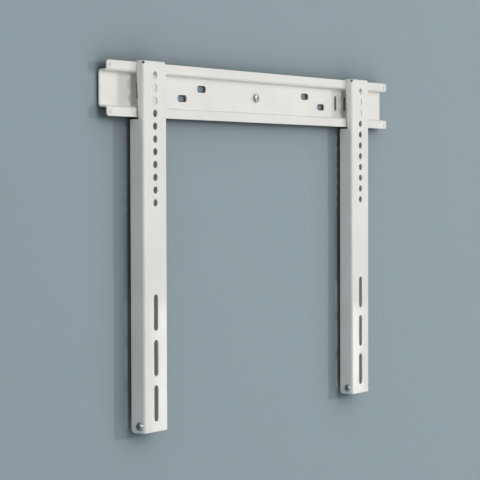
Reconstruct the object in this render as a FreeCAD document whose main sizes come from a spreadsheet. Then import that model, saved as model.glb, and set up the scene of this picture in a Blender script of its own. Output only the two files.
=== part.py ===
import FreeCAD, Part
import math
import os

import Sketcher

# Two-arm wall bracket of folded sheet steel. The wall rail is one sheet with a hat section that lies on
# the wall, and two channel arms hook over its upper flange and slide along it. A cross screw with a
# sleeve and a nut closes the foot of each arm, and one screw holds the middle of the rail.
# Frame: the wall is the plane Y = 0, the front faces -Y, X runs along the rail and Z is up. The origin
# is the middle of the rail's back face.

# Driving sizes in millimetres
SIZES = {
    # Wall rail
    "rail_length": 667.0,
    "rail_depth": 13.0,
    "rail_sheet": 2.0,
    "rail_bend": 2.0,
    "rail_corner": 4.0,
    "web_height": 39.2,
    "step_height": 0.6,
    "flange_height": 12.05,
    # Wall slots and the middle hole in the rail's web
    "wall_slot_length": 20.0,
    "wall_slot_width": 8.6,
    "wall_slot_rise": 6.5,
    "inner_slot_place": 124.0,
    "outer_slot_place": 166.5,
    "stud_slot_place": 207.0,
    "stud_slot_pitch": 25.4,
    "stud_slot_count": 3,
    "stud_slot_length": 21.0,
    "stud_slot_width": 6.5,
    # Pressed stops at the ends of both flanges
    "stop_inset": 6.5,
    "stop_drop": 5.0,
    "stop_diameter": 4.4,
    "stop_height": 1.2,
    "stop_edge": 0.8,
    # Channel arms
    "arm_length": 437.0,
    "arm_width": 47.4,
    "arm_sheet": 1.5,
    "arm_bend": 1.5,
    "arm_lead": 10.3,
    "wall_gap": 3.8,
    "foot_corner": 5.0,
    "left_arm_place": -253.3,
    "right_arm_place": 239.5,
    # Hook over the rail's upper flange, and the clearances round the rail
    "hook_gap": 0.25,
    "hook_bend": 0.75,
    "lip_gap": 0.3,
    "lip_catch": 5.5,
    "seat_gap": 0.4,
    "seat_grip": 8.0,
    "seat_relief": 2.5,
    "under_gap": 2.4,
    "seat_corner": 1.5,
    "relief_margin": 0.3,
    "relief_height": 4.0,
    # Holes and slots in the arms' front faces
    "hole_diameter": 8.6,
    "hole_drop": 16.6,
    "hole_pitch": 15.0,
    "hole_count": 11,
    "slot_length": 43.0,
    "slot_width": 8.6,
    "slot_rise": 33.4,
    "slot_pitch": 53.75,
    "slot_count": 3,
    # Cross screw, sleeve and nut at the foot of each arm
    "foot_rise": 8.0,
    "foot_set": 16.2,
    "foot_thread": 5.0,
    "foot_clearance": 0.25,
    "foot_head_diameter": 10.0,
    "foot_head_height": 3.2,
    "foot_head_edge": 1.0,
    "foot_end": 1.5,
    "sleeve_diameter": 9.0,
    "nut_width": 8.0,
    "nut_height": 4.0,
    # Screw through the middle of the rail
    "wall_thread": 5.0,
    "wall_clearance": 0.6,
    "wall_head_diameter": 11.0,
    "wall_head_height": 3.6,
    "wall_head_edge": 1.2,
    "wall_screw_length": 50.0,
    "wall_screw_point": 6.0,
}

TOLERANCE = 1e-4


class Size:
    """A length that carries its number and the sheet formula that drives it."""

    def __init__(self, number, formula):
        self.number = number
        self.formula = formula

    def joined(self, sign, other, number):
        """Returns the size whose formula joins this one and another with a sign."""
        text = other.formula if isinstance(other, Size) else str(other)
        return Size(number, "(%s %s %s)" % (self.formula, sign, text))

    def __add__(self, other):
        return self.joined("+", other, self.number + plain(other))

    def __sub__(self, other):
        return self.joined("-", other, self.number - plain(other))

    def __mul__(self, other):
        return self.joined("*", other, self.number * plain(other))

    def __truediv__(self, other):
        return self.joined("/", other, self.number / plain(other))

    def __neg__(self):
        return Size(-self.number, "(-%s)" % self.formula)


ZERO = Size(0.0, "0")


def plain(value):
    """Returns the number of a size, or the number itself."""
    return value.number if isinstance(value, Size) else value


def size(alias):
    """Returns one driving size of the sheet."""
    return Size(SIZES[alias], "sizes." + alias)


def hypotenuse(a, b):
    """Returns the length of the slope over two square sides."""
    return Size(math.hypot(a.number, b.number), "hypot(%s; %s)" % (a.formula, b.formula))


# Places that several pieces share
RAIL_HALF_LENGTH = size("rail_length") / 2
RAIL_TOP = size("web_height") / 2 + size("step_height") + size("flange_height")
FLANGE_BACK = size("rail_depth") - size("rail_sheet")
ARM_FRONT = size("rail_depth") + size("arm_lead")
ARM_HALF_WIDTH = size("arm_width") / 2
ARM_TOP = RAIL_TOP + size("hook_gap") + size("arm_sheet")
ARM_BOTTOM = ARM_TOP - size("arm_length")
FOOT_HEIGHT = ARM_BOTTOM + size("foot_rise")


def pin(sketch, geometry, point, x, y):
    """Ties one point of a sketch to two lengths from the sketch's origin."""
    for kind, length in (("DistanceX", x), ("DistanceY", y)):
        tie = Sketcher.Constraint(kind, -1, 1, geometry, point, length.number)
        index = sketch.addConstraint(tie)
        sketch.setExpression("Constraints[%d]" % index, length.formula)


def spot(x, y):
    """Returns a point of a sketch's plane."""
    return FreeCAD.Vector(plain(x), plain(y), 0.0)


def draw_outline(sketch, corners):
    """Draws a closed outline of straight lines, each corner tied to its place."""
    count = len(corners)
    first = len(sketch.Geometry)
    for k in range(count):
        start = spot(*corners[k])
        end = spot(*corners[(k + 1) % count])
        sketch.addGeometry(Part.LineSegment(start, end), False)
    for k in range(count):
        after = first + (k + 1) % count
        sketch.addConstraint(Sketcher.Constraint("Coincident", first + k, 2, after, 1))
    for k in range(count):
        pin(sketch, first + k, 1, *corners[k])


def draw_circle(sketch, x, y, diameter):
    """Draws a circle tied to its place and diameter."""
    up = FreeCAD.Vector(0, 0, 1)
    circle = sketch.addGeometry(Part.Circle(spot(x, y), up, diameter.number / 2), False)
    pin(sketch, circle, 3, x, y)
    index = sketch.addConstraint(Sketcher.Constraint("Diameter", circle, diameter.number))
    sketch.setExpression("Constraints[%d]" % index, diameter.formula)


def draw_slot(sketch, x, y, length, width, upright):
    """Draws a round-ended slot about its middle, upright or lying along the sketch's first axis."""
    reach = (length - width) / 2
    radius = width / 2
    up = FreeCAD.Vector(0, 0, 1)
    start_angle = 0.0 if upright else -math.pi / 2
    far_end = (x, y + reach) if upright else (x + reach, y)
    near_end = (x, y - reach) if upright else (x - reach, y)
    far_arc = Part.Circle(spot(*far_end), up, radius.number)
    near_arc = Part.Circle(spot(*near_end), up, radius.number)
    half_turn = start_angle + math.pi
    whole_turn = start_angle + 2 * math.pi
    far = sketch.addGeometry(Part.ArcOfCircle(far_arc, start_angle, half_turn), False)
    near = sketch.addGeometry(Part.ArcOfCircle(near_arc, half_turn, whole_turn), False)
    far_shape = sketch.Geometry[far]
    near_shape = sketch.Geometry[near]
    one = sketch.addGeometry(Part.LineSegment(far_shape.EndPoint, near_shape.StartPoint), False)
    two = sketch.addGeometry(Part.LineSegment(near_shape.EndPoint, far_shape.StartPoint), False)
    sketch.addConstraint(Sketcher.Constraint("Tangent", far, 2, one, 1))
    sketch.addConstraint(Sketcher.Constraint("Tangent", one, 2, near, 1))
    sketch.addConstraint(Sketcher.Constraint("Tangent", near, 2, two, 1))
    sketch.addConstraint(Sketcher.Constraint("Tangent", two, 2, far, 1))
    pin(sketch, far, 3, *far_end)
    pin(sketch, near, 3, *near_end)
    index = sketch.addConstraint(Sketcher.Constraint("Radius", far, radius.number))
    sketch.setExpression("Constraints[%d]" % index, radius.formula)


def lies_at(edge, axis, places):
    """Tells whether an edge is straight along one axis with its middle at the given places."""
    if not isinstance(edge.Curve, Part.Line):
        return False
    if abs(abs(getattr(edge.Curve.Direction, axis)) - 1) > TOLERANCE:
        return False
    middle = edge.BoundBox.Center
    return all(abs(getattr(middle, name) - plain(value)) < TOLERANCE for name, value in places.items())


class Piece:
    """One body of the document and the feature steps that build it."""

    def __init__(self, document, label):
        self.document = document
        self.body = document.addObject("PartDesign::Body", label)
        self.body.Label = label

    def plane(self, role):
        """Returns one of the body's own origin planes or axes."""
        return next(item for item in self.body.Origin.OriginFeatures if item.Role == role)

    def sketch(self, name, role, offset=None):
        """Returns a new sketch on an origin plane, moved along the plane's normal by an offset."""
        sketch = self.body.newObject("Sketcher::SketchObject", name)
        sketch.AttachmentSupport = (self.plane(role), [""])
        sketch.MapMode = "FlatFace"
        if offset is not None:
            sketch.setExpression("AttachmentOffset.Base.z", offset.formula)
        return sketch

    def feature(self, kind, name, **settings):
        """Adds a feature with plain settings and makes it the body's tip."""
        feature = self.body.newObject("PartDesign::" + kind, name)
        for key, value in settings.items():
            setattr(feature, key, value)
        return feature

    def finish(self, feature):
        """Recomputes a feature that is set up and makes it the body's tip."""
        self.body.Tip = feature
        self.document.recompute()
        return feature

    def pad(self, name, sketch, length, side="One side"):
        """Raises a sketch along its normal, or to both sides of it."""
        pad = self.feature("Pad", name, Profile=sketch, SideType=side)
        pad.setExpression("Length", length.formula)
        return self.finish(pad)

    def pocket(self, name, sketch, length=None):
        """Cuts a sketch against its normal, or right through both ways if no length is given."""
        before = self.body.Tip.Shape.Volume
        pocket = self.feature("Pocket", name, Profile=sketch)
        if length is None:
            pocket.SideType = "Symmetric"
            pocket.Type = "ThroughAll"
        else:
            pocket.setExpression("Length", length.formula)
        self.finish(pocket)
        if pocket.Shape.Volume > before - TOLERANCE:
            raise RuntimeError("%s cuts nothing" % name)
        return pocket

    def fillet(self, name, radius, axis, places):
        """Rounds the straight edges along one axis that lie at any of the given places."""
        base = self.body.Tip
        edges = []
        for k, edge in enumerate(base.Shape.Edges):
            if any(lies_at(edge, axis, place) for place in places):
                edges.append("Edge%d" % (k + 1))
        if len(edges) < len(places):
            raise RuntimeError("%s finds %d of %d edges" % (name, len(edges), len(places)))
        fillet = self.feature("Fillet", name, Base=(base, edges))
        fillet.setExpression("Radius", radius.formula)
        return self.finish(fillet)

    def mirror(self, name, original, role):
        """Mirrors a feature across one of the origin planes."""
        mirror = self.feature("Mirrored", name, Originals=[original], MirrorPlane=(self.plane(role), [""]))
        return self.finish(mirror)

    def repeat(self, name, original, axis, pitch, count):
        """Repeats a feature down one of the origin axes at a pitch."""
        pattern = self.feature("LinearPattern", name, Originals=[original], Reversed=True)
        pattern.Direction = (self.plane(axis), [""])
        pattern.setExpression("Length", (pitch * (count - 1)).formula)
        pattern.setExpression("Occurrences", count.formula)
        return self.finish(pattern)

    def turn(self, name, sketch, axis):
        """Turns a sketch a whole turn about one of the sketch's axes."""
        turn = self.feature("Revolution", name, Profile=sketch, ReferenceAxis=(sketch, [axis]), Angle=360.0)
        return self.finish(turn)

    def place(self, x=None, y=None, z=None):
        """Moves the whole body to a place of the bracket's frame."""
        for name, length in (("x", x), ("y", y), ("z", z)):
            if length is not None:
                self.body.setExpression("Placement.Base." + name, length.formula)


def build_wall_rail(document):
    """The rail: one sheet pressed to a hat section, with wall slots and end stops."""
    rail = Piece(document, "wall_rail")
    sheet = size("rail_sheet")
    depth = size("rail_depth")
    run = depth - sheet
    rise = size("step_height")
    web_edge = size("web_height") / 2
    flange_edge = web_edge + rise
    # The sheet's back face leaves its front face by this much at each bend
    bend_shift = sheet * (hypotenuse(run, rise) - rise) / run
    front = [(-depth, RAIL_TOP), (-depth, flange_edge), (-sheet, web_edge)]
    back = [(ZERO, web_edge + bend_shift), (-FLANGE_BACK, flange_edge + bend_shift), (-FLANGE_BACK, RAIL_TOP)]
    lower_front = [(y, -z) for y, z in reversed(front)]
    lower_back = [(y, -z) for y, z in reversed(back)]
    section = rail.sketch("rail_section", "YZ_Plane")
    draw_outline(section, front + lower_front + lower_back + back)
    rail.pad("rail_sheet_pad", section, size("rail_length"), "Symmetric")
    inside = [front[2], back[1], lower_front[0], lower_back[1]]
    outside = [front[1], back[0], lower_front[1], lower_back[2]]
    rail.fillet("inside_bends", size("rail_bend"), "x", [{"y": y, "z": z} for y, z in inside])
    rail.fillet("outside_bends", size("rail_bend") + sheet, "x", [{"y": y, "z": z} for y, z in outside])
    corners = []
    for x in (RAIL_HALF_LENGTH, -RAIL_HALF_LENGTH):
        for z in (RAIL_TOP, -RAIL_TOP):
            corners.append({"x": x, "z": z})
    rail.fillet("end_corners", size("rail_corner"), "y", corners)

    slots = rail.sketch("wall_slots", "XZ_Plane")
    length = size("wall_slot_length")
    width = size("wall_slot_width")
    draw_slot(slots, size("inner_slot_place"), size("wall_slot_rise"), length, width, False)
    draw_slot(slots, size("outer_slot_place"), -size("wall_slot_rise"), length, width, False)
    slot_cut = rail.pocket("wall_slot_cut", slots)
    rail.mirror("wall_slot_mirror", slot_cut, "YZ_Plane")

    studs = rail.sketch("stud_slots", "XZ_Plane")
    for k in range(SIZES["stud_slot_count"]):
        place = size("stud_slot_place") + size("stud_slot_pitch") * k
        draw_slot(studs, place, ZERO, size("stud_slot_length"), size("stud_slot_width"), True)
    stud_cut = rail.pocket("stud_slot_cut", studs)
    rail.mirror("stud_slot_mirror", stud_cut, "YZ_Plane")

    middle = rail.sketch("middle_hole", "XZ_Plane")
    draw_circle(middle, ZERO, ZERO, size("wall_thread") + size("wall_clearance") * 2)
    rail.pocket("middle_hole_cut", middle)

    # Each stop is pressed out of the flange, so the back has a hollow where the front has a boss
    stop_x = RAIL_HALF_LENGTH - size("stop_inset")
    stop_z = RAIL_TOP - size("stop_drop")
    stop_places = [(stop_x, stop_z), (-stop_x, stop_z), (stop_x, -stop_z), (-stop_x, -stop_z)]
    bosses = rail.sketch("stop_bosses", "XZ_Plane", depth)
    hollows = rail.sketch("stop_hollows", "XZ_Plane", FLANGE_BACK)
    for x, z in stop_places:
        draw_circle(bosses, x, z, size("stop_diameter"))
        draw_circle(hollows, x, z, size("stop_diameter") - size("stop_edge") * 2)
    rail.pad("stop_boss_pad", bosses, size("stop_height"))
    rims = []
    base = rail.body.Tip
    for k, edge in enumerate(base.Shape.Edges):
        if abs(edge.BoundBox.YMax + plain(depth + size("stop_height"))) < TOLERANCE:
            rims.append("Edge%d" % (k + 1))
    domes = rail.feature("Fillet", "stop_domes", Base=(base, rims))
    domes.setExpression("Radius", size("stop_edge").formula)
    rail.finish(domes)
    before = domes.Shape.Volume
    dents = rail.feature("Pocket", "stop_hollow_cut", Profile=hollows, Reversed=True)
    dents.setExpression("Length", size("stop_height").formula)
    rail.finish(dents)
    if dents.Shape.Volume > before - TOLERANCE:
        raise RuntimeError("the stops have no hollows")
    return rail


def build_arm(document, label, place):
    """One arm: a folded channel with a hook over the rail, bolt holes and bolt slots."""
    arm = Piece(document, label)
    sheet = size("arm_sheet")
    half = ARM_HALF_WIDTH
    inner = half - sheet
    front = -ARM_FRONT
    inner_front = front + sheet
    back = -size("wall_gap")
    section = arm.sketch("channel_section", "XY_Plane", ARM_BOTTOM)
    right_side = [(half, back), (half, front)]
    left_side = [(-half, front), (-half, back)]
    hollow = [(-inner, back), (-inner, inner_front), (inner, inner_front), (inner, back)]
    draw_outline(section, right_side + left_side + hollow)
    arm.pad("channel_pad", section, size("arm_length"))
    outer_bend = size("arm_bend") + sheet
    arm.fillet("inside_bends", size("arm_bend"), "z",
               [{"x": -inner, "y": inner_front}, {"x": inner, "y": inner_front}])
    arm.fillet("outside_bends", outer_bend, "z", [{"x": -half, "y": front}, {"x": half, "y": front}])

    # The side walls sit close on the rail's upper flange, slope clear of the rest of the rail so that the
    # arm can be swung on, and reach the full depth below it
    seat = -(size("rail_depth") + size("seat_gap"))
    clear = seat - size("seat_relief")
    grip_bottom = ARM_TOP - size("seat_grip")
    seat_bottom = -(RAIL_TOP + size("under_gap"))
    seat_side = arm.sketch("rail_seat", "YZ_Plane")
    draw_outline(seat_side, [(clear, seat_bottom), (ZERO, seat_bottom), (ZERO, ARM_TOP), (seat, ARM_TOP),
                             (seat, grip_bottom)])
    arm.pocket("rail_seat_cut", seat_side)

    # A square relief frees each top corner where the hook's fold meets the side folds
    reliefs = arm.sketch("corner_reliefs", "XY_Plane", ARM_TOP)
    relief = outer_bend + size("relief_margin")
    draw_outline(reliefs, [(-half, front), (relief - half, front),
                           (relief - half, front + relief), (-half, front + relief)])
    draw_outline(reliefs, [(half - relief, front), (half, front),
                           (half, front + relief), (half - relief, front + relief)])
    arm.pocket("corner_relief_cut", reliefs, size("relief_height"))

    # The front face folds back over the flange's edge and down behind it
    lip_front = -(FLANGE_BACK - size("lip_gap"))
    lip_back = lip_front + sheet
    lip_end = RAIL_TOP - size("lip_catch")
    hook_under = ARM_TOP - sheet
    fold_start = ARM_TOP - size("relief_height")
    hook = arm.sketch("hook_section", "YZ_Plane")
    draw_outline(hook, [(front, fold_start), (front, ARM_TOP), (lip_back, ARM_TOP), (lip_back, lip_end),
                        (lip_front, lip_end), (lip_front, hook_under),
                        (inner_front, hook_under), (inner_front, fold_start)])
    arm.pad("hook_pad", hook, size("arm_width") - relief * 2, "Symmetric")
    arm.fillet("hook_inside_bends", size("hook_bend"), "x",
               [{"y": inner_front, "z": hook_under}, {"y": lip_front, "z": hook_under}])
    arm.fillet("hook_outside_bends", size("hook_bend") + sheet, "x",
               [{"y": front, "z": ARM_TOP}, {"y": lip_back, "z": ARM_TOP}])

    holes = arm.sketch("bolt_hole", "XZ_Plane")
    draw_circle(holes, ZERO, ARM_TOP - size("hole_drop"), size("hole_diameter"))
    hole_cut = arm.pocket("bolt_hole_cut", holes)
    arm.repeat("bolt_hole_row", hole_cut, "Z_Axis", size("hole_pitch"), size("hole_count"))

    slots = arm.sketch("bolt_slot", "XZ_Plane")
    first_slot = ARM_BOTTOM + size("slot_rise") + size("slot_pitch") * (size("slot_count") - 1)
    draw_slot(slots, ZERO, first_slot, size("slot_length"), size("slot_width"), True)
    slot_cut = arm.pocket("bolt_slot_cut", slots)
    arm.repeat("bolt_slot_row", slot_cut, "Z_Axis", size("slot_pitch"), size("slot_count"))

    foot = arm.sketch("foot_hole", "YZ_Plane")
    draw_circle(foot, -size("foot_set"), FOOT_HEIGHT, size("foot_thread") + size("foot_clearance") * 2)
    arm.pocket("foot_hole_cut", foot)

    middles = (half - sheet / 2, -(half - sheet / 2))
    arm.fillet("foot_corners", size("foot_corner"), "x",
               [{"x": x, "y": back, "z": ARM_BOTTOM} for x in middles])
    arm.fillet("seat_corners", size("seat_corner"), "x",
               [{"x": x, "y": back, "z": seat_bottom} for x in middles])
    arm.place(x=place)
    return arm


def build_foot_screw(document, label, place):
    """The cross screw: a pan head on the left side wall and a shank through both walls."""
    screw = Piece(document, label)
    head = size("foot_head_height")
    head_radius = size("foot_head_diameter") / 2
    shank_radius = size("foot_thread") / 2
    end = size("arm_width") + size("nut_height") + size("foot_end")
    profile = screw.sketch("screw_profile", "XY_Plane")
    draw_outline(profile, [(-head, ZERO), (-head, head_radius), (ZERO, head_radius),
                           (ZERO, shank_radius), (end, shank_radius), (end, ZERO)])
    screw.turn("screw_turn", profile, "H_Axis")
    round_rim(screw, "head_rim", "XMin", -head, size("foot_head_edge"))
    screw.place(place - ARM_HALF_WIDTH, -size("foot_set"), FOOT_HEIGHT)
    return screw


def round_rim(piece, name, side, place, radius):
    """Rounds the rim of a turned head, the round edge that lies at one place of its axis."""
    base = piece.body.Tip
    edges = []
    for k, edge in enumerate(base.Shape.Edges):
        flat = isinstance(edge.Curve, Part.Circle)
        if flat and abs(getattr(edge.BoundBox, side) - plain(place)) < TOLERANCE:
            edges.append("Edge%d" % (k + 1))
    rim = piece.feature("Fillet", name, Base=(base, edges[:1]))
    rim.setExpression("Radius", radius.formula)
    piece.finish(rim)


def build_foot_sleeve(document, label, place):
    """The sleeve that keeps the side walls apart round the cross screw."""
    sleeve = Piece(document, label)
    ring = sleeve.sketch("sleeve_ring", "YZ_Plane")
    draw_circle(ring, ZERO, ZERO, size("sleeve_diameter"))
    draw_circle(ring, ZERO, ZERO, size("foot_thread") + size("foot_clearance") * 2)
    sleeve.pad("sleeve_pad", ring, size("arm_width") - size("arm_sheet") * 2, "Symmetric")
    sleeve.place(place, -size("foot_set"), FOOT_HEIGHT)
    return sleeve


def build_foot_nut(document, label, place):
    """The hexagon nut on the right side wall."""
    nut = Piece(document, label)
    across = size("nut_width")
    corner = across / math.sqrt(3)
    flat = across / 2
    hexagon = nut.sketch("nut_hexagon", "YZ_Plane")
    draw_outline(hexagon, [(corner, ZERO), (corner / 2, flat), (-corner / 2, flat),
                           (-corner, ZERO), (-corner / 2, -flat), (corner / 2, -flat)])
    draw_circle(hexagon, ZERO, ZERO, size("foot_thread"))
    nut.pad("nut_pad", hexagon, size("nut_height"))
    nut.place(place + ARM_HALF_WIDTH, -size("foot_set"), FOOT_HEIGHT)
    return nut


def build_wall_screw(document):
    """The screw in the rail's middle: a round head on the web and a pointed shank into the wall."""
    screw = Piece(document, "wall_screw")
    head_seat = -size("rail_sheet")
    head_top = head_seat - size("wall_head_height")
    head_radius = size("wall_head_diameter") / 2
    shank_radius = size("wall_thread") / 2
    tip = head_seat + size("wall_screw_length")
    shoulder = tip - size("wall_screw_point")
    profile = screw.sketch("screw_profile", "XY_Plane")
    draw_outline(profile, [(ZERO, head_top), (head_radius, head_top), (head_radius, head_seat),
                           (shank_radius, head_seat), (shank_radius, shoulder), (ZERO, tip)])
    screw.turn("screw_turn", profile, "V_Axis")
    round_rim(screw, "head_rim", "YMin", head_top, size("wall_head_edge"))
    return screw


def fill_sheet(document):
    """Writes the driving sizes to the document's sheet, one cell and one alias each."""
    sheet = document.addObject("Spreadsheet::Sheet", "sizes")
    for row, (alias, value) in enumerate(SIZES.items(), start=1):
        cell = "A%d" % row
        sheet.set(cell, str(value))
        sheet.setAlias(cell, alias)
    document.recompute()


def check_document(document):
    """Stops if any object of the document failed to build."""
    for item in document.Objects:
        if "Invalid" in item.State or "Error" in item.State:
            raise RuntimeError("%s failed: %s" % (item.Name, item.State))


def main():
    """Builds every piece and writes each one to its own file."""
    document = FreeCAD.newDocument("speaker_wall_bracket")
    fill_sheet(document)
    pieces = [build_wall_rail(document), build_wall_screw(document)]
    for side in ("left", "right"):
        place = size(side + "_arm_place")
        pieces.append(build_arm(document, side + "_arm", place))
        pieces.append(build_foot_screw(document, side + "_foot_screw", place))
        pieces.append(build_foot_sleeve(document, side + "_foot_sleeve", place))
        pieces.append(build_foot_nut(document, side + "_foot_nut", place))
    document.recompute()
    check_document(document)
    for piece in pieces:
        shape = piece.body.Shape
        if shape.isNull() or not shape.isValid() or len(shape.Solids) != 1:
            raise RuntimeError("%s is not one sound solid" % piece.body.Label)
    os.makedirs("parts", exist_ok=True)
    for piece in pieces:
        piece.body.Shape.exportStep("parts/%s.step" % piece.body.Label)
        box = piece.body.Shape.BoundBox
        print(piece.body.Label, round(piece.body.Shape.Volume, 1), "mm3",
              [round(v, 2) for v in (box.XMin, box.XMax, box.YMin, box.YMax, box.ZMin, box.ZMax)])


main()
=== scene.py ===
"""Looks of a two-arm speaker wall bracket: folded, white powder-coated steel with zinc-plated screws.

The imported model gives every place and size. The folded sheets take over the solids' form with broken
edges, and the screws, sleeves and nuts are modelled afresh where the solids stand. Lengths are in
millimetres unless a name says otherwise, angles are in degrees, and the frame is in metres.
"""

import logging
import math
from abc import ABC, abstractmethod
from collections.abc import Callable, Iterator
from contextlib import contextmanager
from dataclasses import dataclass, field
from enum import Enum

import bpy
from mathutils import Matrix, Vector


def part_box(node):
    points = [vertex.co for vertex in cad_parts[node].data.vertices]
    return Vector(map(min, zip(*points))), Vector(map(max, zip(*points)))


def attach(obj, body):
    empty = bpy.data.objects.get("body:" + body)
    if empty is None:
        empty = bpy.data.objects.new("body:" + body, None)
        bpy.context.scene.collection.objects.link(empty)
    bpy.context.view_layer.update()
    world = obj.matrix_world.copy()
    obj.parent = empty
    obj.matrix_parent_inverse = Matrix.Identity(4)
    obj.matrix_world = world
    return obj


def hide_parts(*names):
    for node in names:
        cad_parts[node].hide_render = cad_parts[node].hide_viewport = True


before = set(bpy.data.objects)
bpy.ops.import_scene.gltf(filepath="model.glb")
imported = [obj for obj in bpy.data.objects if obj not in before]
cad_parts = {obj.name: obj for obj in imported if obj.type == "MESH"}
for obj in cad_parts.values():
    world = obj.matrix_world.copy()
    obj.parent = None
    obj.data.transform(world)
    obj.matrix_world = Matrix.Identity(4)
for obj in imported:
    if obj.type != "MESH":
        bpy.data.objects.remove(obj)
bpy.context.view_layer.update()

# Height and radius of each ring of a turned piece
Profile = list[tuple[float, float]]

LOG = logging.getLogger("speaker_wall_bracket")
MM = 0.001
QUARTER_TURN = math.pi / 2
# Nearly all of a noise texture lies between these two values
NOISE_LOW = 0.3
NOISE_HIGH = 0.7
# A face looks up where the Z of its normal is above this
FACING_UP = 0.9


def linear(code: str) -> tuple[float, float, float, float]:
    """Turns an sRGB hex colour into linear values, by the standard's own curve.

    Args:
        code: The colour as "#RRGGBB".

    Returns:
        Linear red, green and blue, and a full alpha.
    """
    shares = [int(code[k:k + 2], 16) / 255 for k in (1, 3, 5)]
    red, green, blue = (c / 12.92 if c <= 0.04045 else ((c + 0.055) / 1.055) ** 2.4 for c in shares)
    return red, green, blue, 1.0


def grain(size_mm: float) -> float:
    """Returns the texture scale, on coordinates in metres, at which one grain has this size."""
    return 1 / MM / size_mm


def add_node(tree: bpy.types.NodeTree, kind: str, settings: dict | None = None,
             links: dict | None = None) -> bpy.types.Node:
    """Adds a node with its settings and links.

    Args:
        tree: The node tree that takes the node.
        kind: The node's type name.
        settings: Values by the name of a node property, or by the name or number of an input.
        links: Output sockets by the name or number of the input that they feed.

    Returns:
        The new node.
    """
    node = tree.nodes.new(kind)
    for name, value in (settings or {}).items():
        if isinstance(name, str) and hasattr(node, name):
            setattr(node, name, value)
        else:
            node.inputs[name].default_value = value
    for name, socket in (links or {}).items():
        tree.links.new(socket, node.inputs[name])
    return node


def blank_material(name: str) -> bpy.types.Material:
    """Makes a material with no nodes yet.

    Args:
        name: The material's name.

    Returns:
        The material, with an empty node tree.
    """
    material = bpy.data.materials.new(name)
    material.use_nodes = True
    material.node_tree.nodes.clear()
    return material


def shown(tree: bpy.types.NodeTree) -> bpy.types.NodeSocket:
    """Tells the rays that show a thing to the eye from those that only carry its light.

    Args:
        tree: The node tree that asks.

    Returns:
        A socket that is 1 for rays that come straight, mirrored or through glass, and otherwise 0.
    """
    ray = add_node(tree, "ShaderNodeLightPath").outputs
    bent = add_node(tree, "ShaderNodeMath", {"operation": "MAXIMUM"},
                    {0: ray["Is Glossy Ray"], 1: ray["Is Transmission Ray"]})
    every = add_node(tree, "ShaderNodeMath", {"operation": "MAXIMUM"},
                     {0: ray["Is Camera Ray"], 1: bent.outputs["Value"]})
    return every.outputs["Value"]


class Slot(Enum):
    """The record's material slots."""

    COAT = "white_powder_coat"
    ZINC = "zinc_plated_steel"


class Side(Enum):
    """The two arms, by the name that their bodies and nodes start with."""

    LEFT = "left"
    RIGHT = "right"


class Along(Enum):
    """The axis that a turned piece is laid along, as the turn that takes it there from the Z axis."""

    X = (0.0, QUARTER_TURN, 0.0)
    Y = (-QUARTER_TURN, 0.0, 0.0)


class Part(Enum):
    """What a selection in edit mode is made of, as Blender's three switches for it."""

    EDGES = (False, True, False)
    FACES = (False, False, True)


@dataclass(frozen=True)
class PowderCoat:
    """Polyester powder coat, sprayed on folded steel and baked.

    It gives the eye an even warm white with a clear gloss. A faint orange peel ruffles its reflections,
    and the punched sheet below isn't quite flat, so that they bend and break up.
    """

    name: str = "white_polyester_powder_coat_baked"
    white: str = "#EEECE8"
    thin_white: str = "#E9E7E2"
    thin_at: float = 0.35
    full_at: float = 0.6
    peel: float = 3.0
    peel_height: float = 0.03
    peel_detail: float = 2.0
    wave: float = 22.0
    wave_height: float = 0.15
    wave_detail: float = 1.0
    bump_strength: float = 0.5
    cloud: float = 70.0
    cloud_detail: float = 3.0
    ior: float = 1.5
    gloss_roughness: float = 0.035
    dull_roughness: float = 0.06

    def material(self) -> bpy.types.Material:
        """Mixes the finish.

        Returns:
            The finish as a material.
        """
        material = blank_material(self.name)
        tree = material.node_tree
        place = add_node(tree, "ShaderNodeTexCoord").outputs["Object"]
        # The real peel is 1 to 2 mm across and would vanish at this picture's size, so it is drawn coarser
        peel = add_node(tree, "ShaderNodeTexNoise",
                        {"Scale": grain(self.peel), "Detail": self.peel_detail}, {"Vector": place})
        wave = add_node(tree, "ShaderNodeTexNoise",
                        {"Scale": grain(self.wave), "Detail": self.wave_detail}, {"Vector": place})
        sheet = add_node(tree, "ShaderNodeBump",
                         {"Strength": self.bump_strength, "Distance": self.wave_height * MM},
                         {"Height": wave.outputs["Fac"]})
        bump = add_node(tree, "ShaderNodeBump",
                        {"Strength": self.bump_strength, "Distance": self.peel_height * MM},
                        {"Height": peel.outputs["Fac"], "Normal": sheet.outputs["Normal"]})
        cloud = add_node(tree, "ShaderNodeTexNoise",
                         {"Scale": grain(self.cloud), "Detail": self.cloud_detail}, {"Vector": place})
        tone = add_node(tree, "ShaderNodeValToRGB", None, {"Fac": cloud.outputs["Fac"]})
        stops = ((self.thin_white, self.thin_at), (self.white, self.full_at))
        for stop, (code, at) in zip(tone.color_ramp.elements, stops):
            stop.color = linear(code)
            stop.position = at
        sheen = add_node(tree, "ShaderNodeMapRange",
                         {"From Min": NOISE_LOW, "From Max": NOISE_HIGH,
                          "To Min": self.gloss_roughness, "To Max": self.dull_roughness},
                         {"Value": cloud.outputs["Fac"]})
        shader = add_node(tree, "ShaderNodeBsdfPrincipled", {"IOR": self.ior},
                          {"Base Color": tone.outputs["Color"], "Roughness": sheen.outputs["Result"],
                           "Normal": bump.outputs["Normal"]})
        add_node(tree, "ShaderNodeOutputMaterial", None, {"Surface": shader.outputs["BSDF"]})
        return material


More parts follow.
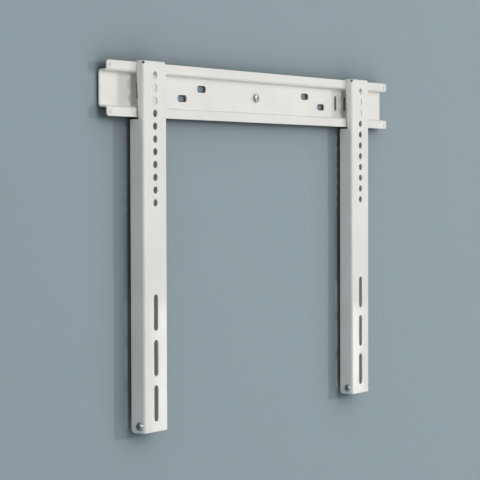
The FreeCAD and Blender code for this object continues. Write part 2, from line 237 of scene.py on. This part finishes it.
@dataclass(frozen=True)
class ZincPlate:
    """Steel that was cold headed or turned, then barrel plated with bright zinc.

    It gives the eye a cool grey metal with soft, slightly uneven reflections from the tumbling.
    """

    name: str = "bright_zinc_plated_steel"
    bright: str = "#B7BBBD"
    dull: str = "#8D9294"
    dull_at: float = 0.35
    bright_at: float = 0.65
    mottle: float = 3.0
    mottle_detail: float = 4.0
    dent: float = 1.2
    dent_height: float = 0.01
    dent_detail: float = 2.0
    dent_strength: float = 0.4
    smooth_roughness: float = 0.12
    worn_roughness: float = 0.25

    def material(self) -> bpy.types.Material:
        """Mixes the finish.

        Returns:
            The finish as a material.
        """
        material = blank_material(self.name)
        tree = material.node_tree
        place = add_node(tree, "ShaderNodeTexCoord").outputs["Object"]
        mottle = add_node(tree, "ShaderNodeTexNoise",
                          {"Scale": grain(self.mottle), "Detail": self.mottle_detail}, {"Vector": place})
        tone = add_node(tree, "ShaderNodeValToRGB", None, {"Fac": mottle.outputs["Fac"]})
        stops = ((self.dull, self.dull_at), (self.bright, self.bright_at))
        for stop, (code, at) in zip(tone.color_ramp.elements, stops):
            stop.color = linear(code)
            stop.position = at
        sheen = add_node(tree, "ShaderNodeMapRange",
                         {"From Min": NOISE_LOW, "From Max": NOISE_HIGH,
                          "To Min": self.worn_roughness, "To Max": self.smooth_roughness},
                         {"Value": mottle.outputs["Fac"]})
        # The real dents are a few tenths of a millimetre across and would vanish, so they are drawn coarser
        dents = add_node(tree, "ShaderNodeTexNoise",
                         {"Scale": grain(self.dent), "Detail": self.dent_detail}, {"Vector": place})
        bump = add_node(tree, "ShaderNodeBump",
                        {"Strength": self.dent_strength, "Distance": self.dent_height * MM},
                        {"Height": dents.outputs["Fac"]})
        shader = add_node(tree, "ShaderNodeBsdfPrincipled", {"Metallic": 1.0},
                          {"Base Color": tone.outputs["Color"], "Roughness": sheen.outputs["Result"],
                           "Normal": bump.outputs["Normal"]})
        add_node(tree, "ShaderNodeOutputMaterial", None, {"Surface": shader.outputs["BSDF"]})
        return material


@dataclass(frozen=True)
class StagePaint:
    """Matt wall paint on the floor and the backdrop.

    It gives the eye a plain pale ground, with painted shade: an ambient occlusion node darkens its colour in
    corners, under edges and near the bracket, standing in for contact shadow. A one-sided sheet is clear from
    behind and lets lamplight through, so that the bracket's back can be lit and seen. A glow is there for the
    eye alone and throws no light on the bracket.
    """

    name: str
    colour: str
    # How far the painted shade reaches: the paint's colour is darkened within this distance of other surfaces
    painted_shade_reach: float
    one_sided: bool = False
    glow: float = 0.0
    roughness: float = 0.85
    specular: float = 0.2

    def material(self) -> bpy.types.Material:
        """Mixes the finish.

        Returns:
            The finish as a material.
        """
        material = blank_material(self.name)
        tree = material.node_tree
        # Painted shade: the paint's colour is darkened near other surfaces, within the reach, standing in for
        # contact shadow
        corner = add_node(tree, "ShaderNodeAmbientOcclusion",
                          {"Color": linear(self.colour), "Distance": self.painted_shade_reach * MM})
        paint = add_node(tree, "ShaderNodeBsdfPrincipled",
                         {"Roughness": self.roughness, "Specular IOR Level": self.specular},
                         {"Base Color": corner.outputs["Color"]})
        if self.glow:
            glow = add_node(tree, "ShaderNodeMath", {"operation": "MULTIPLY", 1: self.glow},
                            {0: shown(tree)})
            paint.inputs["Emission Color"].default_value = linear(self.colour)
            tree.links.new(glow.outputs["Value"], paint.inputs["Emission Strength"])
        surface = paint.outputs["BSDF"]
        if self.one_sided:
            behind = add_node(tree, "ShaderNodeNewGeometry").outputs["Backfacing"]
            lamp = add_node(tree, "ShaderNodeLightPath").outputs["Is Shadow Ray"]
            either = add_node(tree, "ShaderNodeMath", {"operation": "MAXIMUM"}, {0: behind, 1: lamp})
            clear = add_node(tree, "ShaderNodeBsdfTransparent")
            mix = add_node(tree, "ShaderNodeMixShader", None,
                           {"Fac": either.outputs["Value"], 1: surface, 2: clear.outputs["BSDF"]})
            surface = mix.outputs["Shader"]
        add_node(tree, "ShaderNodeOutputMaterial", None, {"Surface": surface})
        return material


class Bench:
    """The modelling steps that the pieces share."""

    RING_WELD_M = 1e-7
    FLAT_FACE_WEIGHT = 100

    @staticmethod
    def take(piece: bpy.types.Object) -> None:
        """Makes one piece the only selected and the active object.

        Args:
            piece: The piece.
        """
        bpy.ops.object.select_all(action="DESELECT")
        piece.select_set(True)
        bpy.context.view_layer.objects.active = piece

    @staticmethod
    @contextmanager
    def editing(piece: bpy.types.Object, part: Part = Part.FACES) -> Iterator[None]:
        """Opens a piece in edit mode and closes it again.

        Args:
            piece: The piece to work on.
            part: What selections are made of meanwhile.

        Returns:
            The step, for a with statement.
        """
        Bench.take(piece)
        bpy.context.tool_settings.mesh_select_mode = part.value
        bpy.ops.object.mode_set(mode="EDIT")
        yield
        bpy.ops.object.mode_set(mode="OBJECT")

    @staticmethod
    def pick_faces(piece: bpy.types.Object, wanted: Callable[[bpy.types.MeshPolygon], bool]) -> None:
        """Selects a piece's faces by their place or normal, before it is opened in edit mode.

        Args:
            piece: The piece, in object mode.
            wanted: Tells whether a face is selected.
        """
        mesh = piece.data
        for items in (mesh.vertices, mesh.edges):
            items.foreach_set("select", [False] * len(items))
        for face in mesh.polygons:
            face.select = wanted(face)

    @staticmethod
    def settle(piece: bpy.types.Object, along: Along | None = None, place: Vector | None = None) -> None:
        """Turns and moves a piece, and puts its place into its mesh.

        Args:
            piece: The piece, built about the Z axis.
            along: The axis to lay it along, if it isn't Z.
            place: The point, in metres, that its origin goes to.
        """
        Bench.take(piece)
        if along is not None:
            piece.rotation_euler = along.value
        if place is not None:
            piece.location = place
        bpy.ops.object.transform_apply(location=True, rotation=True, scale=True)

    @staticmethod
    def turned(name: str, profile: Profile, sides: int, hollow: bool = False) -> bpy.types.Object:
        """Models a turned piece about the Z axis, ring by ring.

        Args:
            name: The piece's name.
            profile: Height and radius of each ring. A hollow piece's profile comes back to its start.
            sides: Points in each ring.
            hollow: Whether the piece is a ring with no end faces.

        Returns:
            The piece, closed and with its faces outwards.
        """
        height, radius = profile[0]
        bpy.ops.object.select_all(action="DESELECT")
        bpy.ops.mesh.primitive_circle_add(vertices=sides, radius=radius * MM, location=(0, 0, height * MM),
                                          fill_type="NOTHING" if hollow else "NGON")
        piece = bpy.context.object
        piece.name = name
        Bench.settle(piece)
        with Bench.editing(piece, Part.EDGES if hollow else Part.FACES):
            bpy.ops.mesh.select_all(action="SELECT")
            for next_height, next_radius in profile[1:]:
                climb = (0, 0, (next_height - height) * MM)
                bpy.ops.mesh.extrude_region_move(TRANSFORM_OT_translate={"value": climb})
                share = next_radius / radius
                bpy.ops.transform.resize(value=(share, share, 1), center_override=(0, 0, next_height * MM))
                height, radius = next_height, next_radius
            bpy.ops.mesh.select_all(action="SELECT")
            bpy.ops.mesh.remove_doubles(threshold=Bench.RING_WELD_M)
            bpy.ops.mesh.normals_make_consistent(inside=False)
        return piece

    @staticmethod
    def modify(piece: bpy.types.Object, kind: str, **settings: object) -> None:
        """Adds a modifier to a piece and applies it.

        Args:
            piece: The piece.
            kind: The modifier's type name.
            settings: The modifier's properties.
        """
        Bench.take(piece)
        modifier = piece.modifiers.new(kind.lower(), kind)
        for name, value in settings.items():
            setattr(modifier, name, value)
        bpy.ops.object.modifier_apply(modifier=modifier.name)

    @staticmethod
    def cut(piece: bpy.types.Object, tool: bpy.types.Object, operation: str = "DIFFERENCE") -> None:
        """Cuts a piece with a tool's shape and removes the tool.

        Args:
            piece: The piece to cut.
            tool: The shape that cuts it.
            operation: Blender's name for the cut.
        """
        Bench.modify(piece, "BOOLEAN", object=tool, operation=operation, solver="EXACT", use_self=True)
        bpy.data.objects.remove(tool)

    @staticmethod
    def join(piece: bpy.types.Object, other: bpy.types.Object) -> None:
        """Joins another object's mesh to a piece.

        Args:
            piece: The piece that stays.
            other: The object that goes into it.
        """
        Bench.take(piece)
        other.select_set(True)
        bpy.ops.object.join()

    @staticmethod
    def smooth(piece: bpy.types.Object, degrees: float) -> None:
        """Shades a piece smooth, with flat faces kept flat.

        Args:
            piece: The piece.
            degrees: The angle below which an edge is smoothed over.
        """
        Bench.take(piece)
        bpy.ops.object.shade_smooth_by_angle(angle=math.radians(degrees))
        Bench.modify(piece, "WEIGHTED_NORMAL", keep_sharp=True, weight=Bench.FLAT_FACE_WEIGHT)

    @staticmethod
    def dress(piece: bpy.types.Object, finish: bpy.types.Material, slot: Slot, body: str, node: str) -> None:
        """Gives a finished piece its material and its place in the frame.

        Args:
            piece: The finished piece.
            finish: Its material.
            slot: The record's slot for it. Not used.
            body: The body that it rides on.
            node: The solid that it stands for.
        """
        piece.data.materials.clear()
        piece.data.materials.append(finish)
        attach(piece, body)
        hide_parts(node)
        LOG.info("%s: %d faces, rides on %s", piece.name, len(piece.data.polygons), body)


@dataclass
class FoldedSheet:
    """A punched and folded sheet, with its solid's form and edges broken by deburring and paint."""

    node: str
    body: str
    finish: bpy.types.Material
    broken_edge: float = 0.3
    edge_segments: int = 2
    edge_angle: float = 40.0
    flat_angle: float = 0.2
    smooth_angle: float = 35.0
    weld_m: float = 1e-6

    def build(self) -> bpy.types.Object:
        """Builds and dresses the sheet.

        Returns:
            The finished piece.
        """
        name = self.node + "_sheet"
        piece = bpy.data.objects.new(name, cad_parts[self.node].data.copy())
        piece.data.name = name
        bpy.context.scene.collection.objects.link(piece)
        with Bench.editing(piece, Part.EDGES):
            bpy.ops.mesh.select_all(action="SELECT")
            bpy.ops.mesh.remove_doubles(threshold=self.weld_m)
            bpy.ops.mesh.dissolve_limited(angle_limit=math.radians(self.flat_angle))
        Bench.modify(piece, "BEVEL", width=self.broken_edge * MM, segments=self.edge_segments,
                     limit_method="ANGLE", angle_limit=math.radians(self.edge_angle),
                     use_clamp_overlap=False, loop_slide=False)
        Bench.smooth(piece, self.smooth_angle)
        Bench.dress(piece, self.finish, Slot.COAT, self.body, self.node)
        return piece


@dataclass
class CrossRecess:
    """The cross-shaped driver recess in a screw's head."""

    wing_span: float
    wing_width: float
    depth: float
    taper: float = 0.55

    def tool(self) -> bpy.types.Object:
        """Models the cutting shape: two tapered blades that cross on the Z axis.

        Returns:
            The cutting shape, half sunk in a head whose top lies at the origin and faces down.
        """
        bpy.ops.object.select_all(action="DESELECT")
        bpy.ops.mesh.primitive_cube_add(size=1, location=(0, 0, 0))
        tool = bpy.context.object
        tool.scale = (self.wing_span * MM, self.wing_width * MM, 2 * self.depth * MM)
        Bench.settle(tool)
        Bench.pick_faces(tool, lambda face: face.normal.z > FACING_UP)
        with Bench.editing(tool):
            bpy.ops.transform.resize(value=(self.taper, self.taper, 1),
                                     center_override=(0, 0, self.depth * MM))
            bpy.ops.mesh.select_all(action="SELECT")
            bpy.ops.mesh.duplicate()
            bpy.ops.transform.rotate(value=QUARTER_TURN, orient_axis="Z", center_override=(0, 0, 0))
        return tool


@dataclass
class ScrewThread:
    """A screw's rolled thread, a ridge that climbs round the core."""

    core_radius: float
    crest_radius: float
    pitch: float
    start: float
    end: float
    steps: int = 24
    section_sides: int = 3
    height_in_radii: float = 1.3

    def ridge(self) -> bpy.types.Object:
        """Models the ridge as a three-sided section wound up the Z axis.

        Returns:
            The ridge, with closed ends.
        """
        # A triangle is one and a half radii high from base to tip, so its base sinks a little into the core
        section = (self.crest_radius - self.core_radius) / self.height_in_radii
        bpy.ops.object.select_all(action="DESELECT")
        middle = ((self.crest_radius - section) * MM, 0, self.start * MM)
        bpy.ops.mesh.primitive_circle_add(vertices=self.section_sides, radius=section * MM,
                                          fill_type="NOTHING", location=middle,
                                          rotation=(QUARTER_TURN, QUARTER_TURN, 0))
        ridge = bpy.context.object
        Bench.settle(ridge)
        turns = max(1, int((self.end - self.start) / self.pitch))
        Bench.modify(ridge, "SCREW", axis="Z", screw_offset=self.pitch * MM, iterations=turns,
                     steps=self.steps, render_steps=self.steps, use_merge_vertices=True)
        with Bench.editing(ridge, Part.EDGES):
            bpy.ops.mesh.select_all(action="SELECT")
            bpy.ops.mesh.fill_holes(sides=self.section_sides)
            bpy.ops.mesh.normals_make_consistent(inside=False)
        return ridge


@dataclass
class HeadedScrew(ABC):
    """What the two kinds of screw share: a head with a cross recess, and a shank with a rolled thread.

    The crown's rings are depths below the head's top and shares of its radius.
    """

    node: str
    body: str
    finish: bpy.types.Material
    crown: tuple[tuple[float, float], ...]
    head_radius: float
    head_height: float
    head_rim: float
    recess: CrossRecess
    core_radius: float
    plain_length: float
    thread_pitch: float
    thread_runout: float
    shank_radius: float = 2.5
    ring_sides: int = 48
    smooth_angle: float = 32.0

    def head(self) -> Profile:
        """Returns the head's rings, from its top to its seat."""
        rings = [(depth, share * self.head_radius) for depth, share in self.crown]
        return rings + [(self.head_height - self.head_rim, self.head_radius),
                        (self.head_height, self.head_radius - self.head_rim)]

    def plain_shank(self) -> Profile:
        """Returns the rings of the shank's plain part, from the head's seat to the thread's core."""
        end = self.head_height + self.plain_length
        return [(self.head_height, self.shank_radius), (end - self.thread_runout, self.shank_radius),
                (end, self.core_radius)]

    @abstractmethod
    def threaded_end(self, length: float) -> tuple[Profile, ScrewThread]:
        """Lays out the threaded part of the shank.

        Args:
            length: The whole screw's length.

        Returns:
            The rings past the plain part, and the thread.
        """

    def forge(self, length: float) -> bpy.types.Object:
        """Models the screw along the Z axis, with the top of its head at the origin.

        Args:
            length: The whole screw's length.

        Returns:
            The screw, not yet in its place.
        """
        end, thread = self.threaded_end(length)
        piece = Bench.turned(self.node + "_zinc", self.head() + self.plain_shank() + end, self.ring_sides)
        Bench.cut(piece, self.recess.tool())
        Bench.join(piece, thread.ridge())
        Bench.smooth(piece, self.smooth_angle)
        return piece


@dataclass
class CrossScrew(HeadedScrew):
    """The cross screw at an arm's foot: a domed head, and a fine thread at its end."""

    crown: tuple[tuple[float, float], ...] = ((0.0, 0.3), (0.12, 0.5), (0.36, 0.68), (0.8, 0.84),
                                              (1.35, 0.94), (2.0, 0.99), (2.5, 1.0))
    head_radius: float = 5.0
    head_height: float = 3.2
    head_rim: float = 0.15
    recess: CrossRecess = field(default_factory=lambda: CrossRecess(5.4, 1.5, 2.2))
    core_radius: float = 2.1
    plain_length: float = 40.0
    thread_pitch: float = 0.8
    thread_runout: float = 0.4
    end_chamfer: float = 0.5
    bare_end: float = 0.6

    def threaded_end(self, length: float) -> tuple[Profile, ScrewThread]:
        """Lays out the threaded part of the shank, with its end chamfered.

        Args:
            length: The whole screw's length.

        Returns:
            The rings past the plain part, and the thread.
        """
        rings = [(length - self.end_chamfer, self.core_radius), (length, self.core_radius - self.end_chamfer)]
        thread = ScrewThread(self.core_radius, self.shank_radius, self.thread_pitch,
                             self.head_height + self.plain_length, length - self.bare_end)
        return rings, thread

    def build(self) -> bpy.types.Object:
        """Builds and dresses the screw, which lies across the arm.

        Returns:
            The finished piece.
        """
        low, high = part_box(self.node)
        middle = (low + high) / 2
        piece = self.forge((high.x - low.x) / MM)
        Bench.settle(piece, Along.X, Vector((low.x, middle.y, middle.z)))
        Bench.dress(piece, self.finish, Slot.ZINC, self.body, self.node)
        return piece


@dataclass
class WallScrew(HeadedScrew):
    """The screw through the rail's middle: a tall flat head, a coarse thread and a point."""

    crown: tuple[tuple[float, float], ...] = ((0.0, 0.79), (0.05, 0.84), (0.2, 0.91), (0.5, 0.965),
                                              (0.85, 0.99), (1.2, 1.0))
    head_radius: float = 5.5
    head_height: float = 3.6
    head_rim: float = 0.2
    recess: CrossRecess = field(default_factory=lambda: CrossRecess(4.6, 1.6, 2.4))
    core_radius: float = 1.7
    plain_length: float = 9.0
    thread_pitch: float = 2.2
    thread_runout: float = 1.0
    thread_overlap: float = 0.5
    point_length: float = 6.0
    tip_length: float = 0.4
    tip_radius: float = 0.2
    end_radius: float = 0.05

    def threaded_end(self, length: float) -> tuple[Profile, ScrewThread]:
        """Lays out the threaded part of the shank, down to its point.

        Args:
            length: The whole screw's length.

        Returns:
            The rings past the plain part, and the thread.
        """
        point = length - self.point_length
        rings = [(point, self.core_radius), (length - self.tip_length, self.tip_radius),
                 (length, self.end_radius)]
        thread = ScrewThread(self.core_radius, self.shank_radius, self.thread_pitch,
                             self.head_height + self.plain_length - self.thread_overlap,
                             point + self.thread_overlap)
        return rings, thread

    def build(self) -> bpy.types.Object:
        """Builds and dresses the screw, which goes into the wall.

        Returns:
            The finished piece.
        """
        low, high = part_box(self.node)
        middle = (low + high) / 2
        piece = self.forge((high.y - low.y) / MM)
        Bench.settle(piece, Along.Y, Vector((middle.x, low.y, middle.z)))
        Bench.dress(piece, self.finish, Slot.ZINC, self.body, self.node)
        return piece


@dataclass
class SpacerSleeve:
    """The cut tube that keeps an arm's side walls apart round its cross screw."""

    node: str
    body: str
    finish: bpy.types.Material
    bore_radius: float = 2.75
    chamfer: float = 0.4
    ring_sides: int = 40
    smooth_angle: float = 32.0

    def build(self) -> bpy.types.Object:
        """Builds and dresses the sleeve.

        Returns:
            The finished piece.
        """
        low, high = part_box(self.node)
        middle = (low + high) / 2
        length = (high.x - low.x) / MM
        outer = (high.z - low.z) / 2 / MM
        bore, c = self.bore_radius, self.chamfer
        profile = [(c, outer), (length - c, outer), (length, outer - c), (length, bore + c),
                   (length - c, bore), (c, bore), (0.0, bore + c), (0.0, outer - c), (c, outer)]
        piece = Bench.turned(self.node + "_zinc", profile, self.ring_sides, hollow=True)
        Bench.smooth(piece, self.smooth_angle)
        Bench.settle(piece, Along.X, Vector((low.x, middle.y, middle.z)))
        Bench.dress(piece, self.finish, Slot.ZINC, self.body, self.node)
        return piece


@dataclass
class HexNut:
    """The hexagon nut on an arm's foot, its corners turned off and its bore countersunk at both faces."""

    node: str
    body: str
    finish: bpy.types.Material
    flats: int = 6
    corner_chamfer: float = 0.45
    corner_room: float = 0.05
    face_inset: float = 0.1
    bore_radius: float = 2.5
    countersink: float = 0.7
    countersink_depth: float = 0.5
    drill_overrun: float = 0.2
    ring_sides: int = 48
    bore_sides: int = 32
    smooth_angle: float = 25.0

    def build(self) -> bpy.types.Object:
        """Builds and dresses the nut.

        Returns:
            The finished piece.
        """
        low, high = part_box(self.node)
        middle = (low + high) / 2
        height = (high.x - low.x) / MM
        corner = (high.y - low.y) / 2 / MM
        # Laid along X, the hexagon's corners lie along Y as they do on the solid
        piece = Bench.turned(self.node + "_zinc", [(0.0, corner), (height, corner)], self.flats)
        face = (high.z - low.z) / 2 / MM - self.face_inset
        wide = corner + self.corner_room
        envelope = [(0.0, face), (self.corner_chamfer, wide),
                    (height - self.corner_chamfer, wide), (height, face)]
        Bench.cut(piece, Bench.turned("corner_tool", envelope, self.ring_sides), "INTERSECT")
        bore = self.bore_radius
        mouth = bore + self.countersink
        drill = [(-self.drill_overrun, mouth), (self.countersink_depth, bore),
                 (height - self.countersink_depth, bore), (height + self.drill_overrun, mouth)]
        Bench.cut(piece, Bench.turned("bore_tool", drill, self.bore_sides))
        Bench.smooth(piece, self.smooth_angle)
        Bench.settle(piece, Along.X, Vector((low.x, middle.y, middle.z)))
        Bench.dress(piece, self.finish, Slot.ZINC, self.body, self.node)
        return piece


@dataclass
class Rail:
    """The wall rail and the screw in its middle."""

    coat: bpy.types.Material
    zinc: bpy.types.Material
    body: str = "rail"

    def build(self) -> list[bpy.types.Object]:
        """Builds the sub-assembly.

        Returns:
            Its pieces.
        """
        return [FoldedSheet("wall_rail", self.body, self.coat).build(),
                WallScrew("wall_screw", self.body, self.zinc).build()]


@dataclass
class Arm:
    """One channel arm with the cross screw, sleeve and nut at its foot."""

    side: Side
    coat: bpy.types.Material
    zinc: bpy.types.Material

    def build(self) -> list[bpy.types.Object]:
        """Builds the sub-assembly.

        Returns:
            Its pieces.
        """
        body = self.side.value + "_arm"
        foot = self.side.value + "_foot_"
        return [FoldedSheet(body, body, self.coat).build(),
                CrossScrew(foot + "screw", body, self.zinc).build(),
                SpacerSleeve(foot + "sleeve", body, self.zinc).build(),
                HexNut(foot + "nut", body, self.zinc).build()]


@dataclass
class Lamp:
    """One soft box of the studio, which faces a point of the bracket.

    A bearing of 0 is straight in front, and positive bearings are to the right.
    """

    name: str
    bearing: float
    rise: float
    distance_m: float
    width_m: float
    height_m: float
    watts: float
    colour: str = "#FFFFFF"
    aim_m: tuple[float, float, float] = (0.0, 0.0, -0.1)

    def build(self) -> None:
        """Hangs the lamp, out of the camera's sight."""
        data = bpy.data.lights.new(self.name, "AREA")
        data.shape = "RECTANGLE"
        data.size = self.width_m
        data.size_y = self.height_m
        data.energy = self.watts
        data.color = linear(self.colour)[:3]
        lamp = bpy.data.objects.new(self.name, data)
        bpy.context.scene.collection.objects.link(lamp)
        turn, tilt = math.radians(self.bearing), math.radians(self.rise)
        away = Vector((math.sin(turn) * math.cos(tilt), -math.cos(turn) * math.cos(tilt), math.sin(tilt)))
        lamp.location = Vector(self.aim_m) + away * self.distance_m
        lamp.rotation_euler = away.to_track_quat("Z", "Y").to_euler()
        lamp.visible_camera = False


@dataclass
class Camera:
    """The photograph's viewpoint, as fitted to the bracket's edges."""

    focal_pixels: float = 1901.8
    picture_pixels: float = 480.0
    film: float = 36.0
    yaw: float = 57.128
    pitch: float = 1.688
    roll: float = 0.175
    place: tuple[float, float, float] = (-2080.35, -1321.97, -110.72)

    def build(self) -> None:
        """Places the camera and makes it the scene's own."""
        data = bpy.data.cameras.new("photo_camera")
        data.sensor_width = self.film
        data.lens = self.focal_pixels / self.picture_pixels * self.film
        camera = bpy.data.objects.new("photo_camera", data)
        bpy.context.scene.collection.objects.link(camera)
        # The camera starts by looking along +Y, then rolls, nods down and turns to the right
        facing = Matrix.Rotation(QUARTER_TURN, 4, "X")
        turn = (Matrix.Rotation(-math.radians(self.yaw), 4, "Z")
                @ Matrix.Rotation(-math.radians(self.pitch), 4, "X")
                @ Matrix.Rotation(math.radians(self.roll), 4, "Y"))
        camera.matrix_world = Matrix.Translation(Vector(self.place) * MM) @ turn @ facing
        bpy.context.scene.camera = camera


@dataclass
class Studio:
    """The pale backdrop and floor, the lamps and the surrounding light."""

    backdrop_colour: str = "#95A4AB"
    floor_colour: str = "#DADDDD"
    floor_glow: float = 0.35
    sky_colour: str = "#F2F4F6"
    sky_front: float = 0.6
    sky_end: float = 0.33
    sky_seen: float = 0.85
    backdrop_y: float = 2.0
    floor_z: float = -1600.0
    reach: float = 100000.0
    # Reach of the painted shade that darkens the backdrop and floor colour near the bracket
    painted_shade_reach: float = 80.0
    lamps: tuple[Lamp, ...] = field(default_factory=lambda: (
        Lamp("key_lamp", 46.0, 8.5, 5.5, 0.24, 0.24, 85.0, "#FFFAF2"),
        Lamp("front_panel", -8.0, 17.0, 3.2, 2.4, 2.4, 37.0),
        Lamp("side_panel", -80.0, 12.0, 2.7, 0.6, 1.0, 4.4),
        Lamp("low_card", 56.8, -12.3, 2.385, 0.514, 0.39, 1.45),
        Lamp("back_lamp", 150.0, 30.0, 3.0, 1.4, 1.4, 40.0),
    ))

    def sheet(self, name: str, paint: StagePaint, corners: tuple[Vector, Vector], upright: bool) -> None:
        """Lays one plain sheet of the stage.

        Args:
            name: The sheet's name.
            paint: Its finish.
            corners: Its lowest and highest corner, in millimetres.
            upright: Whether it stands facing the front, or lies facing up.
        """
        low, high = corners
        bpy.ops.object.select_all(action="DESELECT")
        bpy.ops.mesh.primitive_plane_add(size=1)
        sheet = bpy.context.object
        sheet.name = name
        size = high - low
        sheet.scale = (size.x * MM, (size.z if upright else size.y) * MM, 1)
        sheet.rotation_euler = (QUARTER_TURN if upright else 0, 0, 0)
        sheet.location = (low + high) / 2 * MM
        bpy.ops.object.transform_apply(location=True, rotation=True, scale=True)
        sheet.data.materials.append(paint.material())

    def light_room(self) -> None:
        """Lights the room: bright in front of the wall, dim along it and dark behind it."""
        world = bpy.data.worlds.new("studio_light")
        bpy.context.scene.world = world
        world.use_nodes = True
        tree = world.node_tree
        tree.nodes.clear()
        colour = linear(self.sky_colour)
        way = add_node(tree, "ShaderNodeTexCoord").outputs["Generated"]
        front = add_node(tree, "ShaderNodeSeparateXYZ", None, {0: way}).outputs["Y"]
        level = add_node(tree, "ShaderNodeMapRange",
                         {"From Min": self.sky_end, "From Max": -1.0,
                          "To Min": 0.0, "To Max": self.sky_front},
                         {"Value": front})
        dim = add_node(tree, "ShaderNodeBackground", {"Color": colour}, {"Strength": level.outputs["Result"]})
        pale = add_node(tree, "ShaderNodeBackground", {"Color": colour, "Strength": self.sky_seen})
        mix = add_node(tree, "ShaderNodeMixShader", None,
                       {"Fac": shown(tree), 1: dim.outputs["Background"], 2: pale.outputs["Background"]})
        add_node(tree, "ShaderNodeOutputWorld", None, {"Surface": mix.outputs["Shader"]})

    def build(self) -> None:
        """Builds the stage, hangs the lamps and lights the room."""
        half = self.reach / 2
        wall = StagePaint("pale_backdrop_paint", self.backdrop_colour, self.painted_shade_reach, one_sided=True)
        floor = StagePaint("pale_floor_paint", self.floor_colour, self.painted_shade_reach, glow=self.floor_glow)
        wall_corners = (Vector((-half, self.backdrop_y, self.floor_z)), Vector((half, self.backdrop_y, half)))
        floor_corners = (Vector((-half, -half, self.floor_z)), Vector((half, half, self.floor_z)))
        self.sheet("backdrop", wall, wall_corners, upright=True)
        self.sheet("floor", floor, floor_corners, upright=False)
        for lamp in self.lamps:
            lamp.build()
        self.light_room()
        bpy.context.scene.view_settings.view_transform = "Standard"


def main() -> None:
    """Builds the bracket and its studio in order."""
    logging.basicConfig(level=logging.INFO, format="%(name)s: %(message)s")
    coat = PowderCoat().material()
    zinc = ZincPlate().material()
    pieces = Rail(coat, zinc).build()
    for side in Side:
        pieces += Arm(side, coat, zinc).build()
    LOG.info("%d pieces", len(pieces))
    Studio().build()
    Camera().build()


if __name__ == "__main__":
    main()
